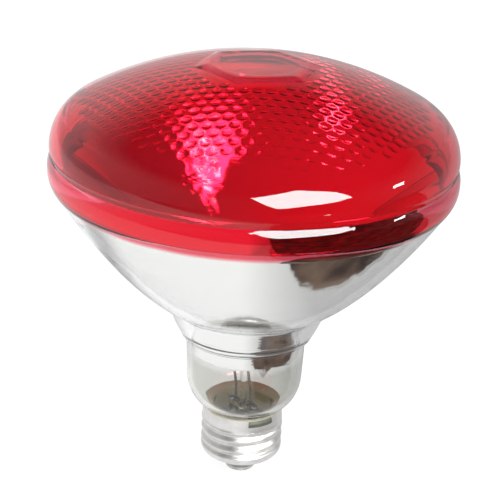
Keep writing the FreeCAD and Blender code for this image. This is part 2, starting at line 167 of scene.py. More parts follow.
# %% The honeycomb of pebbles
PEBBLE_PITCH = 3.7
PEBBLE_REACH = 50.0
HONEYCOMB_REACH = 52.5
BOSS_CLEAR = 17.0
BORDER_WAVES = ((1.6, 3, 0.7), (1.2, 7, 0.0))
WELD_DISTANCE = 0.01
pebble_side = PEBBLE_PITCH / math.sqrt(3)
row_pitch = 1.5 * pebble_side


def pebble_centres(reach):
    """The middles of all cells within reach of the axis, row by row."""
    rows = int(reach / row_pitch) + 1
    for row in range(-rows, rows + 1):
        shift = PEBBLE_PITCH / 2 if row % 2 else 0.0
        for place in range(-rows, rows + 1):
            centre = Vector((place * PEBBLE_PITCH + shift, row * row_pitch, 0.0))
            if centre.length < reach - pebble_side:
                yield centre


def has_pebble(centre):
    """The pebbles stop at the boss, and at an uneven border near the shoulder."""
    border = PEBBLE_REACH - waves(math.atan2(centre.y, centre.x), BORDER_WAVES)
    return BOSS_CLEAR < centre.length < border


lens = bmesh.new()
centres = list(pebble_centres(HONEYCOMB_REACH))
for centre in centres:
    bmesh.ops.create_circle(lens, cap_ends=True, segments=6, radius=pebble_side,
                            matrix=Matrix.Translation(centre))
bmesh.ops.remove_doubles(lens, verts=lens.verts, dist=WELD_DISTANCE)
bmesh.ops.subdivide_edges(lens, edges=lens.edges[:], cuts=1, use_grid_fill=False)
pebbled = [face for face in lens.faces if has_pebble(face.calc_center_median())]
print(len(centres), "cells,", len(pebbled), "of them pebbles")

# %% Rounding each pebble
PEBBLE_RADIUS = 1.55
PEBBLE_DEPTH = 0.17
PEBBLE_RINGS = (1.0, 0.93, 0.66, 0.33)
PEBBLE_INSET = 0.2
cell_tree = KDTree(len(pebbled))
for index, face in enumerate(pebbled):
    cell_tree.insert(face.calc_center_median(), index)
cell_tree.balance()
for share in PEBBLE_RINGS:
    bmesh.ops.inset_individual(lens, faces=pebbled, thickness=PEBBLE_INSET)
    for vert in {vert for face in pebbled for vert in face.verts}:
        middle = cell_tree.find(vert.co)[0]
        vert.co = middle + (vert.co - middle).normalized() * PEBBLE_RADIUS * share
bmesh.ops.poke(lens, faces=pebbled)
for vert in lens.verts:
    away = cell_tree.find(vert.co)[2]
    vert.co.z = -PEBBLE_DEPTH * max(1 - (away / PEBBLE_RADIUS) ** 2, 0.0)
print(len(lens.verts), "points in the honeycomb")

# %% Joining the honeycomb to the first ring, and bending it to the inner dome
INNER_RING = 54.0
border = [edge for edge in lens.edges if edge.is_boundary]
circle = bmesh.ops.create_circle(lens, segments=RING_POINTS, radius=INNER_RING,
                                 matrix=Matrix.Rotation(BOSS_TURN, 4, "Z"))
ring = list({edge for vert in circle["verts"] for edge in vert.link_edges})
bmesh.ops.triangle_fill(lens, edges=border + ring, use_beauty=True, normal=(0, 0, 1))
for vert in lens.verts:
    vert.co.z += dome_height(math.hypot(vert.co.x, vert.co.y), LENS_WALL)
print(len(ring), "edges in the first ring")

# %% Inner shoulder, rim and outer shoulder, ring by ring
SHOULDER_STEPS = 14
# The outside of the rim: the seam's rounded lip, and the shallow hollow under the shoulder
RIM_PROFILE = (
    (59.80, 108.274), (59.93, 108.31), (60.00, 108.42), (60.02, 108.7), (60.06, 109.1), (60.15, 109.5),
    (60.29, 109.9), (60.43, 110.2), (60.54, 110.38),
)


def shoulder_ring(angle, inset):
    """A ring of the shoulder's round corner. The angle is measured from straight up."""
    corner = SHOULDER_RADIUS - inset
    return round_ring(SHOULDER_R + corner * math.sin(angle), SHOULDER_Z + corner * math.cos(angle))


def shoulder_angle(start, step):
    """The angle of one of the steps from the start to the side, which faces outwards."""
    return start + (math.pi / 2 - start) * step / SHOULDER_STEPS


inner_start = math.asin((INNER_RING - SHOULDER_R) / (SHOULDER_RADIUS - LENS_WALL))
for step in range(1, SHOULDER_STEPS + 1):
    ring = next_ring(lens, ring, shoulder_ring(shoulder_angle(inner_start, step), LENS_WALL))
ring = next_ring(lens, ring, round_ring(RIM_BORE, SEAM_Z))
for radius, height in RIM_PROFILE:
    ring = next_ring(lens, ring, round_ring(radius, height))
for step in reversed(range(SHOULDER_STEPS + 1)):
    ring = next_ring(lens, ring, shoulder_ring(shoulder_angle(shoulder_join, step), 0.0))
print("rim and shoulder grown from", len(ring), "edges")

# %% [markdown]
# The boss is a low six-sided plateau on the middle of the dome. Its corners are soft and its side
# slopes, because pressed glass has to leave its mould. A bevelled prism would have a hard foot, so
# the rings of the dome turn slowly into a hexagon, climb the side and turn back into a circle. A very
# shallow groove runs round the middle of the top.

# %% Outlines of the boss
BOSS_TOP = 135.541
CORNER_POWER = 60
HALF_SIDE = math.radians(30)


def six_sided(radius, angle):
    """Distance from the axis to a hexagon with softly rounded corners."""
    middles = (BOSS_TURN + HALF_SIDE * (2 * side + 1) for side in range(6))
    reach = sum(max(math.cos(angle - middle), 0.0) ** CORNER_POWER for middle in middles)
    return radius * math.cos(HALF_SIDE) / reach ** (1 / CORNER_POWER)


def boss_ring(radius, corners, rise):
    """Corners 1 is the hexagon and 0 a circle. Rise 0 lies on the dome and 1 is level with the top."""
    def place(angle):
        reach = corners * six_sided(radius, angle) + (1 - corners) * radius
        return reach, dome_height(reach) * (1 - rise) + BOSS_TOP * rise
    return place


print("flat top at", BOSS_TOP, "mm, where the dome alone would reach", round(dome_height(0), 2), "mm")

# %% The dome's outside, the boss and the ring line
DOME_STEPS = 18
BOSS_FOOT = 22.0
BOSS_RINGS = (
    (21.0, 0.3, 0.0), (20.2, 0.75, 0.0), (19.5, 0.95, 0.0), (19.1, 1.0, 0.0), (18.85, 1.0, 0.05),
    (18.5, 1.0, 0.15), (17.4, 1.0, 0.45), (16.2, 1.0, 0.75), (15.6, 1.0, 0.88), (15.1, 1.0, 0.97),
    (14.6, 1.0, 1.0), (13.7, 0.6, 1.0), (12.8, 0.1, 1.0),
)
RING_LINE_DEPTH = 0.025
RING_LINE = ((12.1, 0.0), (11.95, 0.4), (11.8, 1.0), (11.65, 0.4), (11.5, 0.0), (8.0, 0.0), (3.0, 0.0))

dome_edge = DOME_RADIUS * math.sin(shoulder_join)
for step in range(1, DOME_STEPS + 1):
    radius = dome_edge + (BOSS_FOOT - dome_edge) * step / DOME_STEPS
    ring = next_ring(lens, ring, round_ring(radius, dome_height(radius)))
for radius, corners, rise in BOSS_RINGS:
    ring = next_ring(lens, ring, boss_ring(radius, corners, rise))
for radius, share in RING_LINE:
    ring = next_ring(lens, ring, round_ring(radius, BOSS_TOP - RING_LINE_DEPTH * share))
middle = bmesh.ops.extrude_edge_only(lens, edges=ring)["geom"]
bmesh.ops.pointmerge(lens, verts=[item for item in middle if isinstance(item, bmesh.types.BMVert)],
                     merge_co=(0, 0, BOSS_TOP))
bmesh.ops.recalc_face_normals(lens, faces=lens.faces)
print("boundary edges left:", sum(edge.is_boundary for edge in lens.edges))

# %% The lens as a piece
front_lens = piece_from(lens, "ruby_lens", sharp_degrees=28.0)
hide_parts("front_lens")
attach(front_lens, "root")

# %% [markdown]
# The silver is not on the outside of the bowl. It is a film of aluminium on the inside of the
# glass, so every reflection sits a little behind the surface. It ends in an uneven edge on the
# neck, where the glass stays clear. A mirror finish on the bowl's outside would be simpler, but the
# glass in front of it would have no depth. So the film is a thin shell of its own. It grows ring by
# ring from a profile along the inside of the glass, and waves pull its lowest ring up and down.

# %% Profile of the film
MIRROR_FOCUS = 17.7
MIRROR_VERTEX_Z = 54.043
MIRROR_FOOT = 21.1
MIRROR_STEPS = 40
BELOW_SEAM = 0.3
ABOVE_CURVE = 0.4
NECK_INSIDE_TOP = (17.15, 50.183)
NECK_INSIDE_FOOT = (16.65, 34.483)
# The film crosses the stepped ring a little inside the glass, as its reflections there show
RING_PROFILE = ((20.3, 60.1), (19.6, 59.6), (19.3, 58.9), (19.05, 57.5), (18.65, 55.6), (18.3, 54.0),
                (17.95, 52.6), (17.55, 51.2), NECK_INSIDE_TOP)


def mirror_height(radius):
    """The mirror is a paraboloid, with the filament round its focus."""
    return MIRROR_VERTEX_Z + radius**2 / (4 * MIRROR_FOCUS)


mirror_top = mirror_height(RIM_BORE)
film_profile = [(RIM_BORE, SEAM_Z - BELOW_SEAM), (RIM_BORE, (mirror_top + SEAM_Z) / 2),
                (RIM_BORE, mirror_top + ABOVE_CURVE)]
for step in range(MIRROR_STEPS + 1):
    radius = RIM_BORE + (MIRROR_FOOT - RIM_BORE) * step / MIRROR_STEPS
    film_profile.append((radius, mirror_height(radius)))
film_profile.extend(RING_PROFILE)
print(len(film_profile), "points in the film's profile, the mirror's top at", round(mirror_top, 2), "mm")

# %% The film's ragged edge in the neck
FILM_GAP = 0.05
FILM_EDGE_Z = 43.9
EDGE_WAVES = ((0.35, 5, 1.0), (0.25, 11, 0.0), (0.15, 23, 2.0))
TOOTH_DEGREES = -69.0
TOOTH_HALF_WIDTH = 7.0
TOOTH_LENGTH = 3.6
CURL_Z = 44.3
CURL_SLOPE = 0.3


def neck_inside(height):
    """Inner radius of the neck, which narrows a little downwards."""
    share = (NECK_INSIDE_TOP[1] - height) / (NECK_INSIDE_TOP[1] - NECK_INSIDE_FOOT[1])
    return NECK_INSIDE_TOP[0] + (NECK_INSIDE_FOOT[0] - NECK_INSIDE_TOP[0]) * share


def ragged_edge(angle):
    """Height of the film's lowest edge, with one pointed tooth to the right of the front."""
    off = math.degrees(angle) - TOOTH_DEGREES
    tooth = TOOTH_LENGTH * max(0.0, 1 - abs(off) / TOOTH_HALF_WIDTH)
    return FILM_EDGE_Z + waves(angle, EDGE_WAVES) - tooth


def ragged_ring(share):
    """A ring of the film inside the neck: share 0 is the neck's top and 1 is the ragged edge."""
    def place(angle):
        height = NECK_INSIDE_TOP[1] + (ragged_edge(angle) - NECK_INSIDE_TOP[1]) * share
        curl = CURL_SLOPE * max(CURL_Z - height, 0.0)
        return neck_inside(height) - FILM_GAP - curl, height
    return place


print("tip of the tooth at", round(ragged_edge(math.radians(TOOTH_DEGREES)), 2), "mm")

# %% The film as a piece
FILM_WALL = 0.08
NECK_SHARES = (0.3, 0.6, 0.85, 1.0)
film = bmesh.new()
bmesh.ops.create_circle(film, segments=RING_POINTS, radius=film_profile[0][0] - FILM_GAP,
                        matrix=Matrix.Translation((0, 0, film_profile[0][1])))
ring = film.edges[:]
for radius, height in film_profile[1:]:
    ring = next_ring(film, ring, round_ring(radius - FILM_GAP, height))
for share in NECK_SHARES:
    ring = next_ring(film, ring, ragged_ring(share))
bmesh.ops.recalc_face_normals(film, faces=film.faces)
bmesh.ops.solidify(film, geom=film.faces[:], thickness=FILM_WALL)
bmesh.ops.recalc_face_normals(film, faces=film.faces)
mirror_film = piece_from(film, "mirror_film", sharp_degrees=16.0)
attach(mirror_film, "root")

# %% [markdown]
# The filament of a heat lamp is a long coil of tungsten, bent into an open ring round the focus.
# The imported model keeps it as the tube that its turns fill. Here it is a real coil: a spiral curve
# with a round bevel, which is how wire is drawn in Blender. A screw modifier could wind it too, but
# not along a ring. Few people will ever see it through the ruby glass, so its wire has few sides.

# %% Line of the filament coil
FOCUS_Z = MIRROR_VERTEX_Z + MIRROR_FOCUS
FILAMENT_RING = 7.5
COIL_WIRE = 0.17
COIL_OUTSIDE = 0.9
COIL_RADIUS = COIL_OUTSIDE - COIL_WIRE
COIL_TURNS = 42
COIL_POINTS_PER_TURN = 14
GAP_ANGLE = math.radians(90)
MOUNT_TURN = math.radians(-45)
coil_start = -math.pi / 2 + GAP_ANGLE / 2

coil_curve = bpy.data.curves.new("filament_coil", "CURVE")
coil_curve.dimensions = "3D"
coil_curve.bevel_depth = COIL_WIRE * MM
coil_curve.bevel_resolution = 2
coil_line = coil_curve.splines.new("POLY")
count = COIL_TURNS * COIL_POINTS_PER_TURN
coil_line.points.add(count)
for index in range(count + 1):
    share = index / count
    around = coil_start + (2 * math.pi - GAP_ANGLE) * share + MOUNT_TURN
    turn = 2 * math.pi * COIL_TURNS * share
    reach = FILAMENT_RING + COIL_RADIUS * math.cos(turn)
    height = FOCUS_Z + COIL_RADIUS * math.sin(turn)
    coil_line.points[index].co = (
        reach * math.cos(around) * MM, reach * math.sin(around) * MM, height * MM, 1)
print(count + 1, "points along the coil")

# %% The filament coil as a piece
coil_shape = placed("filament_coil_line", coil_curve)
bpy.context.view_layer.update()
evaluated = coil_shape.evaluated_get(bpy.context.evaluated_depsgraph_get())
coil_mesh = bpy.data.meshes.new_from_object(evaluated)
bpy.data.objects.remove(coil_shape)
for polygon in coil_mesh.polygons:
    polygon.use_smooth = True
filament_coil = placed("filament_coil", coil_mesh)
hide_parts("filament")
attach(filament_coil, "root")
print("filament coil", len(coil_mesh.polygons), "faces")

# %% [markdown]
# Now the materials. A material is a tree of nodes, and each node takes several lines to make and to
# join up. A few short helpers do that: each one adds a node, feeds it and gives back its output, so
# the steps of a material read like sums. The main shader stays in the material itself.

# %% Helpers: nodes and their sockets


def add(tree, kind, **values):
    """A node of that kind, with its sockets or settings given by name."""
    node = tree.nodes.new(kind)
    for name, value in values.items():
        label = name.replace("_", " ")
        if label in node.inputs:
            node.inputs[label].default_value = value
        else:
            setattr(node, name, value)
    return node


def feed(tree, socket, value):
    """Links another node's output to the socket, or sets it to a plain number, vector or colour."""
    if isinstance(value, bpy.types.NodeSocket):
        tree.links.new(value, socket)
    elif socket.type == "RGBA":
        socket.default_value = (*value, 1)
    else:
        socket.default_value = value


def coordinates(tree, label="Object"):
    """The place of each point, in the object's own axes unless the label says otherwise."""
    return add(tree, "ShaderNodeTexCoord").outputs[label]


def parts_of(tree, vector):
    """The X, Y and Z outputs of a vector."""
    node = add(tree, "ShaderNodeSeparateXYZ")
    feed(tree, node.inputs[0], vector)
    return node.outputs


# %% Helpers: numbers


def sums(tree, operation, *values, clamp=False):
    """One step of arithmetic on two or three numbers."""
    node = add(tree, "ShaderNodeMath", operation=operation, use_clamp=clamp)
    for socket, value in zip(node.inputs, values):
        feed(tree, socket, value)
    return node.outputs[0]


def ramp(tree, value, start, end, low=0.0, high=1.0):
    """A number that goes from low to high while value goes from start to end."""
    node = add(tree, "ShaderNodeMapRange", From_Min=start, From_Max=end, To_Min=low, To_Max=high)
    feed(tree, node.inputs["Value"], value)
    return node.outputs["Result"]


def length(tree, vector):
    """How long a vector is."""
    node = add(tree, "ShaderNodeVectorMath", operation="LENGTH")
    feed(tree, node.inputs[0], vector)
    return node.outputs["Value"]


def along(tree, vector, direction):
    """How far the vector goes in a direction, as the dot product of the two."""
    node = add(tree, "ShaderNodeVectorMath", operation="DOT_PRODUCT")
    feed(tree, node.inputs[0], vector)
    feed(tree, node.inputs[1], direction)
    return node.outputs["Value"]


def noise(tree, vector, scale, detail, roughness=0.5):
    """A soft uneven pattern between 0 and 1. A larger scale makes it finer."""
    node = add(tree, "ShaderNodeTexNoise", Detail=detail, Roughness=roughness)
    feed(tree, node.inputs["Vector"], vector)
    feed(tree, node.inputs["Scale"], scale)
    return node.outputs["Fac"]


# %% Helpers: mixing colours, numbers and shaders
MIX_SOCKETS = {"RGBA": (6, 7, 2), "FLOAT": (2, 3, 0)}


def blend(tree, share, first, second, kind="RGBA"):
    """A colour or a number between two others: share 0 gives the first and 1 the second."""
    node = add(tree, "ShaderNodeMix", data_type=kind)
    first_socket, second_socket, result = MIX_SOCKETS[kind]
    feed(tree, node.inputs[0], share)
    feed(tree, node.inputs[first_socket], first)
    feed(tree, node.inputs[second_socket], second)
    return node.outputs[result]


def choose(tree, share, first, second):
    """One shader or another: share 0 gives the first and 1 the second."""
    node = add(tree, "ShaderNodeMixShader")
    for socket, value in zip(node.inputs, (share, first, second)):
        feed(tree, socket, value)
    return node.outputs[0]


def bumped(tree, shader, height, strength, distance):
    """Turns a pattern into small relief on the shader's surface."""
    relief = add(tree, "ShaderNodeBump", Strength=strength, Distance=distance)
    feed(tree, relief.inputs["Height"], height)
    feed(tree, shader.inputs["Normal"], relief.outputs["Normal"])


# %% Helpers: materials and node groups


def principled(material):
    """The main shader of a material."""
    return next(node for node in material.node_tree.nodes if node.type == "BSDF_PRINCIPLED")


def new_material(name):
    """A material, with its tree and its main shader."""
    material = bpy.data.materials.new(name)
    material.use_nodes = True
    return material, material.node_tree, principled(material)


def new_glowing_material(name):
    """A material with an empty tree and the socket of its surface, for floors and boards."""
    material = new_material(name)[0]
    tree = material.node_tree
    tree.nodes.clear()
    return material, tree, add(tree, "ShaderNodeOutputMaterial").inputs["Surface"]


def new_group(name, inputs, outputs):
    """An empty node group, with the sockets that its nodes take from and give to."""
    group = bpy.data.node_groups.new(name, "ShaderNodeTree")
    for label, kind, value in inputs:
        group.interface.new_socket(label, in_out="INPUT", socket_type=kind).default_value = value
    for label, kind in outputs:
        group.interface.new_socket(label, in_out="OUTPUT", socket_type=kind)
    return group, group.nodes.new("NodeGroupInput").outputs, group.nodes.new("NodeGroupOutput").inputs


def place_group(tree, group, **values):
    """Puts a node group into a tree, with its inputs given by name."""
    node = tree.nodes.new("ShaderNodeGroup")
    node.node_tree = group
    for name, value in values.items():
        feed(tree, node.inputs[name], value)
    return node


print("node helpers ready, for mixes of", " and ".join(MIX_SOCKETS))

# %% [markdown]
# Metal, solder, cement and black glass are never one flat colour: plating is duller in places,
# solder is grainy and cement is stained. All of them could have their own noise and colour ramp. It
# is the same effect each time, so it is one node group with a scale and two colours. It gives the
# mixed colour, and a mask that roughness and relief can follow.

# %% Node group: mottling, which turns two colours into one uneven one
MOTTLE_DETAIL = 5.0
MOTTLE_ROUGHNESS = 0.6
MOTTLE_RANGE = (0.3, 0.7)
mottle, given, result = new_group(
    "mottle",
    [("Scale", "NodeSocketFloat", 300.0), ("Light", "NodeSocketColor", (1, 1, 1, 1)),
     ("Dark", "NodeSocketColor", (0.5, 0.5, 0.5, 1))],
    [("Color", "NodeSocketColor"), ("Mask", "NodeSocketFloat")])
spots = noise(mottle, coordinates(mottle), given["Scale"], MOTTLE_DETAIL, MOTTLE_ROUGHNESS)
mask = ramp(mottle, spots, *MOTTLE_RANGE)
feed(mottle, result["Color"], blend(mottle, mask, given["Dark"], given["Light"]))
feed(mottle, result["Mask"], mask)
print("mottle group with", len(mottle.nodes), "nodes")

# %% A mottled finish
GRAIN_DISTANCE = 0.0003


def painted(name, light, dark, scale, roughness, metallic=0.0, bump=0.0):
    """A finish that is mottled between two colours, with its roughness and bump from the same pattern."""
    material, tree, shader = new_material(name)
    pattern = place_group(tree, mottle, Scale=scale, Light=light, Dark=dark)
    mask = pattern.outputs["Mask"]
    feed(tree, shader.inputs["Base Color"], pattern.outputs["Color"])
    feed(tree, shader.inputs["Roughness"], ramp(tree, mask, 0.0, 1.0, *roughness))
    shader.inputs["Metallic"].default_value = metallic
    if bump:
        bumped(tree, shader, mask, bump, GRAIN_DISTANCE)
    return material


print("a mottled finish has a grain of", GRAIN_DISTANCE / MM, "mm at most")

# %% [markdown]
# Ruby glass is coloured all through, so the colour belongs to the light that passes, not to the
# surface. It could be a volume that swallows green and blue, but a thin wall seen mostly face on
# needs no more than a tinted transmission, which is also far quicker. A little of the light is
# scattered rather than let through, which keeps the lens red where nothing bright is behind it.
# The stem inside the lamp is plain clear glass, with the same settings and almost no tint.

# %% Ruby glass and clear glass
RUBY = (0.96, 0.045, 0.088)
RUBY_CLEAR = 0.94
GLASS_CLEAR = (0.985, 0.99, 0.985)
GLASS_IOR = 1.5


def glass_settings(shader, colour, clear=1.0):
    """Smooth glass. Clear is the share of the light that goes through."""
    shader.inputs["Base Color"].default_value = (*colour, 1)
    shader.inputs["Transmission Weight"].default_value = clear
    shader.inputs["Roughness"].default_value = 0.0
    shader.inputs["IOR"].default_value = GLASS_IOR


ruby_glass, tree, shader = new_material("ruby_glass")
glass_settings(shader, RUBY, RUBY_CLEAR)
clear_glass, tree, shader = new_material("clear_glass")
glass_settings(shader, GLASS_CLEAR)
print("ruby glass lets", RUBY_CLEAR, "of the light through")

# %% [markdown]
# The bowl is one piece of glass with three looks: ruby lacquer on its upper edge, plain glass over
# the film, and a neck that is greyed by a thin mist of metal. They could be three materials on three
# sets of faces, but their borders would then be as straight as the mesh. Here the height decides, in
# one material, and noise makes the lacquer's border uneven, as a sprayed or dipped edge is.

# %% Bowl glass
LACQUER = (0.95, 0.10, 0.165)
GLASS_WHITE = (0.98, 0.985, 0.98)
GLASS_MISTY = (0.78, 0.785, 0.755)
LACQUER_EDGE_Z = 99.3 * MM
LACQUER_SOFT = (LACQUER_EDGE_Z - 0.7 * MM, LACQUER_EDGE_Z + 0.9 * MM)
LACQUER_WAVE = 0.6 * MM
LACQUER_WAVE_SCALE = 45.0
LACQUER_WAVE_DETAIL = 2.0
MIST_SOFT = (41.8 * MM, 43.8 * MM)

bowl_glass, tree, shader = new_material("bowl_glass")
glass_settings(shader, (1, 1, 1))
position = coordinates(tree)
height = parts_of(tree, position)["Z"]
wave = ramp(tree, noise(tree, position, LACQUER_WAVE_SCALE, LACQUER_WAVE_DETAIL), 0.0, 1.0,
            -LACQUER_WAVE, LACQUER_WAVE)
lacquered = ramp(tree, sums(tree, "ADD", height, wave), *LACQUER_SOFT)
clean = ramp(tree, height, *MIST_SOFT)
clear_tint = blend(tree, clean, GLASS_MISTY, GLASS_WHITE)
feed(tree, shader.inputs["Base Color"], blend(tree, lacquered, clear_tint, LACQUER))
print("lacquer above", round(LACQUER_EDGE_Z / MM, 1), "mm, mist below", round(MIST_SOFT[1] / MM, 1), "mm")

# %% [markdown]
# The film is aluminium, laid on the glass as a vapour, and as even as a mirror high up. Low down,
# near the ring, it shows fine lines that run round it, because it follows the pressed glass. They
# could be grooves in the mesh, but they are far thinner than its rings. So they are a bump from
# noise that is squashed forty times in height, and they fade out upwards.

# %% Aluminium film
FILM_COLOUR = (0.93, 0.93, 0.92)
FILM_ROUGHNESS = 0.04
LINE_SQUASH = (1.0, 1.0, 40.0)
LINE_SCALE = 45.0
LINE_DETAIL = 3.0
LINE_FADE = (63.0 * MM, 80.0 * MM)
LINE_LEAST = 0.12
LINE_STRENGTH = 0.35
LINE_DISTANCE = 0.0001

mirrored, tree, shader = new_material("aluminium_film")
shader.inputs["Metallic"].default_value = 1.0
shader.inputs["Base Color"].default_value = (*FILM_COLOUR, 1)
shader.inputs["Roughness"].default_value = FILM_ROUGHNESS
position = coordinates(tree)
squashed = add(tree, "ShaderNodeMapping", Scale=LINE_SQUASH)
feed(tree, squashed.inputs["Vector"], position)
lines = noise(tree, squashed.outputs["Vector"], LINE_SCALE, LINE_DETAIL)
fade = ramp(tree, parts_of(tree, position)["Z"], *LINE_FADE, 1.0, LINE_LEAST)
bumped(tree, shader, sums(tree, "MULTIPLY", lines, fade), LINE_STRENGTH, LINE_DISTANCE)
print("lines on the film fade out between", [round(v / MM) for v in LINE_FADE], "mm")

# %% [markdown]
# The rest is plain work with the mottled finish. The cap is plated with nickel and has a fine
# satin from rolling. The solder is dull and pitted, the cement is brown and stained, and the wires
# are copper, nickel, a sealing alloy and tungsten. A flat colour for each would do from far off, but
# each gets two tones and a scale of its own, so that it holds up in a close view.

# %% Mottled finishes
nickelled_cap = painted(
    "nickelled_cap", (0.80, 0.79, 0.77), (0.62, 0.61, 0.60), 180.0, (0.28, 0.42), metallic=0.8, bump=0.05)
nickelled_contact = painted(
    "nickelled_contact", (0.62, 0.61, 0.59), (0.42, 0.41, 0.40), 400.0, (0.3, 0.5), metallic=1.0, bump=0.1)
black_glass = painted("black_glass", (0.02, 0.02, 0.022), (0.008, 0.008, 0.01), 250.0, (0.08, 0.25))
solder_metal = painted(
    "solder", (0.125, 0.135, 0.10), (0.07, 0.08, 0.06), 400.0, (0.55, 0.75), metallic=0.4, bump=0.3)
cement_stone = painted(
    "basing_cement", (0.78, 0.66, 0.40), (0.45, 0.43, 0.33), 160.0, (0.8, 0.95), bump=0.5)
nickel_wire = painted(
    "nickel_wire", (0.62, 0.60, 0.56), (0.45, 0.43, 0.40), 600.0, (0.2, 0.4), metallic=1.0)
copper_wire = painted(
    "copper_wire", (0.75, 0.38, 0.22), (0.45, 0.20, 0.12), 600.0, (0.25, 0.45), metallic=1.0)
seal_metal = painted(
    "seal_metal", (0.62, 0.36, 0.24), (0.40, 0.22, 0.16), 800.0, (0.3, 0.5), metallic=1.0)
support_metal = painted(
    "support_metal", (0.45, 0.44, 0.43), (0.30, 0.29, 0.29), 800.0, (0.3, 0.5), metallic=1.0)
tungsten = painted("tungsten", (0.30, 0.29, 0.28), (0.17, 0.165, 0.16), 900.0, (0.3, 0.5), metallic=1.0)
print(len(bpy.data.materials), "materials so far")

# %% [markdown]
# The cement is seen twice: bare below the neck, and through the neck's glass. The renderer stops
# light after a few walls of glass, so behind the glass the cement would be nearly black. It gets a
# weak glow of its own colour there. Light Path's Transmission Depth counts the walls that a ray has
# gone through, so the bare cement has no glow at all.

# %% Cement behind glass
MANY_WALLS = 2.5
CEMENT_GLOW_LIGHT = (0.26, 0.19, 0.11)
CEMENT_GLOW_DARK = (0.12, 0.105, 0.08)
CEMENT_GLOW_SCALE = 70.0
BLACK = (0, 0, 0)

tree, shader = cement_stone.node_tree, principled(cement_stone)
walls = add(tree, "ShaderNodeLightPath").outputs["Transmission Depth"]
behind_glass = sums(tree, "GREATER_THAN", walls, MANY_WALLS)
patches = place_group(tree, mottle, Scale=CEMENT_GLOW_SCALE, Light=CEMENT_GLOW_LIGHT, Dark=CEMENT_GLOW_DARK)
glow = blend(tree, behind_glass, BLACK, patches.outputs["Color"])
feed(tree, shader.inputs["Emission Color"], glow)
shader.inputs["Emission Strength"].default_value = 1.0
print("cement glows behind more than", MANY_WALLS, "walls")

# %% [markdown]
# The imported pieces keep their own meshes, because their shapes are right already. They could be
# copied and rebuilt, but a material in each slot is all that they need. The new pieces have no slot
# yet, so a material is appended to their meshes.

# %% Which piece gets which finish
finish_of = {
    "reflector_bowl": bowl_glass,
    "flare_stem": clear_glass, "exhaust_tube": clear_glass, "arbor_rod": clear_glass,
    "seal_wire_left": seal_metal, "seal_wire_right": seal_metal,
    "inner_lead_left": nickel_wire, "inner_lead_right": nickel_wire,
    "outer_lead_centre": copper_wire, "outer_lead_side": copper_wire,
    "support_wire_1": support_metal, "support_wire_2": support_metal, "support_wire_3": support_metal,
    "filament": tungsten,
    "cap_shell": nickelled_cap, "cap_insulator": black_glass, "centre_contact": nickelled_contact,
    "centre_solder": solder_metal, "side_solder": solder_metal, "basing_cement": cement_stone,
    "front_lens": ruby_glass,
}
for name, material in finish_of.items():
    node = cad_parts[name]
    if not node.material_slots:
        node.data.materials.append(material)
    for place in node.material_slots:
        place.material = material
front_lens.data.materials.append(ruby_glass)
mirror_film.data.materials.append(mirrored)
filament_coil.data.materials.append(tungsten)
print(len(finish_of), "packed pieces and 3 new ones have their finish")

# %% [markdown]
# The stage is a big white floor. For the camera it is plain white. Glass and polished metal show
# what stands round them, so their rays see the floor bright near the lamp, a brown patch in front
# of it to the right, and darker floor behind it and far off in front. Real cards could lie there,
# but they would throw shadows and light of their own. Light Path tells the floor which kind of ray
# has hit it, and its Object coordinates tell where. The dimming to the right and behind the lamp is
# painted shade, and the dark spot right under the lamp is a painted shadow.

# %% Floor, and where the lamp's gloss sees it bright
FLOOR_HALF = 3.0
# Painted shade: the floor that gloss and glass see dims to the right
RIGHT_SHADE_FADE = (-0.005, 0.042)
RIGHT_SHADE_LEAST = 0.57
# Painted shade behind the lamp to the left, only near it
BACK_LEFT = (-0.6, 0.8, 0.0)
BACK_SHADE_FADE = (0.07, 0.13)
BACK_SHADE_MOST = 0.75
NEAR_FADE = (0.11, 0.15)
# Painted shadow right under the lamp, where gloss sees the floor darkest
FOOT_SHADOW_FADE = (0.001, 0.006)
FOOT_SHADOW_LEAST = 0.1

floor_shape = bmesh.new()
bmesh.ops.create_grid(floor_shape, x_segments=1, y_segments=1, size=FLOOR_HALF)
floor = placed("floor", mesh_from(floor_shape, "floor"))

floor_white, tree, floor_surface = new_glowing_material("floor_white")
path = add(tree, "ShaderNodeLightPath").outputs
position = coordinates(tree)
distance = length(tree, position)
# Full on the left and in front; painted shade to the right and back left, painted shadow under the lamp
painted_shade_right = ramp(tree, parts_of(tree, position)["X"], *RIGHT_SHADE_FADE, 1.0, RIGHT_SHADE_LEAST)
painted_shade_behind = ramp(tree, along(tree, position, BACK_LEFT), *BACK_SHADE_FADE, 0.0, BACK_SHADE_MOST)
near = ramp(tree, distance, *NEAR_FADE, 1.0, 0.0)
foot = ramp(tree, distance, *FOOT_SHADOW_FADE, FOOT_SHADOW_LEAST, 1.0)
lit = sums(tree, "SUBTRACT", foot, sums(tree, "MULTIPLY", painted_shade_behind, near), clamp=True)
brightness = sums(tree, "MULTIPLY", painted_shade_right, lit)
print("floor", 2 * FLOOR_HALF, "m across")

# %% The brown shape to the right of the front, with a curved edge towards the lamp
SHAPE_TURN = math.radians(34.8)
SHAPE_PLACE = (0.119, -0.006, 0.0)
SHAPE_SPREAD = 1.3
SHAPE_START = 0.168
EDGE_WANDER = 0.006
EDGE_SCALE = 90.0
EDGE_DETAIL = 3.0
EDGE_SOFT = (-0.0008, 0.0012)
BROWN_SCALE = 28.0
BROWN_DETAIL = 2.0
BROWN_RANGE = (0.4, 0.65)
BROWN_DARK = (0.055, 0.040, 0.036)
BROWN_LIGHT = (0.19, 0.13, 0.10)

